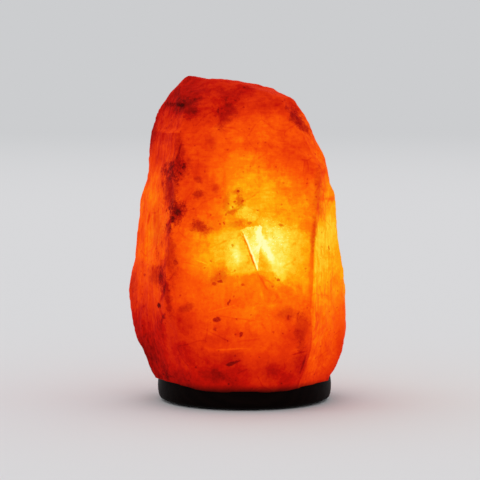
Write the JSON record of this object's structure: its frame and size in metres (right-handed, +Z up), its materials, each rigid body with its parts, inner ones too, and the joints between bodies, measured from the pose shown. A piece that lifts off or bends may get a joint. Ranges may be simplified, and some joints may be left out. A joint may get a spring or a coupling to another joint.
{
  "type": "salt crystal lamp",
  "caption": "Hewn block of rock salt on a turned wooden base, lit from inside by a small screw bulb whose spring-clipped holder pulls out from below.",
  "frame": {"origin": "on the wooden base's axis, in the plane of the felt ring that the lamp stands on", "axes": "+Z up, -Y towards the side that is looked at, +X to that side's right; the cord groove leaves towards +Y"},
  "size_m": [0.1302, 0.1124, 0.1945],
  "materials": {
    "rock_salt": "hewn and frosted, glowing orange from inside",
    "dark_wood": "stained almost black, satin",
    "black_felt": "pressed felt",
    "plated_steel": "zinc plated",
    "plug_nylon": "moulded nylon",
    "spring_steel": "bright rolled strip",
    "brass": "drawn and turned",
    "holder_plastic": "moulded thermoset",
    "carrier_ceramic": "fired, unglazed",
    "solder": "solder dome",
    "black_glass": "fused black glass",
    "nickel_cap": "nickel plated, rolled thread",
    "clear_glass": "clear blown glass",
    "stem_glass": "clear pressed glass",
    "nickel_wire": "drawn wire",
    "tungsten": "coiled wire, glowing"
  },
  "bodies": {
    "lamp_body": {"salt_crystal": "rock_salt", "wooden_base": "dark_wood", "felt_ring": "black_felt", "base_screws": "plated_steel", "wall_plugs": "plug_nylon"},
    "lampholder": {"spring_bracket": "spring_steel", "cord_nipple": "brass", "lock_nut": "plated_steel", "lock_washer": "plated_steel", "holder_cap": "holder_plastic", "holder_barrel": "holder_plastic", "contact_carrier": "carrier_ceramic", "terminal_blocks": "brass", "terminal_screws": "plated_steel", "thread_shell": "brass", "centre_contact": "spring_steel"},
    "bulb_tip": {"cap_contact": "solder"},
    "bulb": {"cap_insulator": "black_glass", "bulb_cap": "nickel_cap", "bulb_glass": "clear_glass", "glass_stem": "stem_glass", "lead_wires": "nickel_wire", "support_wires": "nickel_wire", "filament": "tungsten"}
  },
  "joints": [
    {"name": "holder_pull", "type": "slide", "parent": "lamp_body", "child": "lampholder", "axis": [0, 0, -1], "range_m": [0, 0.11]},
    {"name": "bulb_travel", "type": "slide", "parent": "lampholder", "child": "bulb_tip", "axis": [0, 0, 1], "range_m": [0, 0.0142]},
    {"name": "bulb_turn", "type": "hinge", "parent": "bulb_tip", "child": "bulb", "pos_m": [0, 0, 0.06], "axis": [0, 0, 1], "range_deg": [0, 1800]}
  ],
  "couplings": [
    {"joint": "bulb_travel", "follows": "bulb_turn", "m_per_rad": 0.00044917}
  ]
}
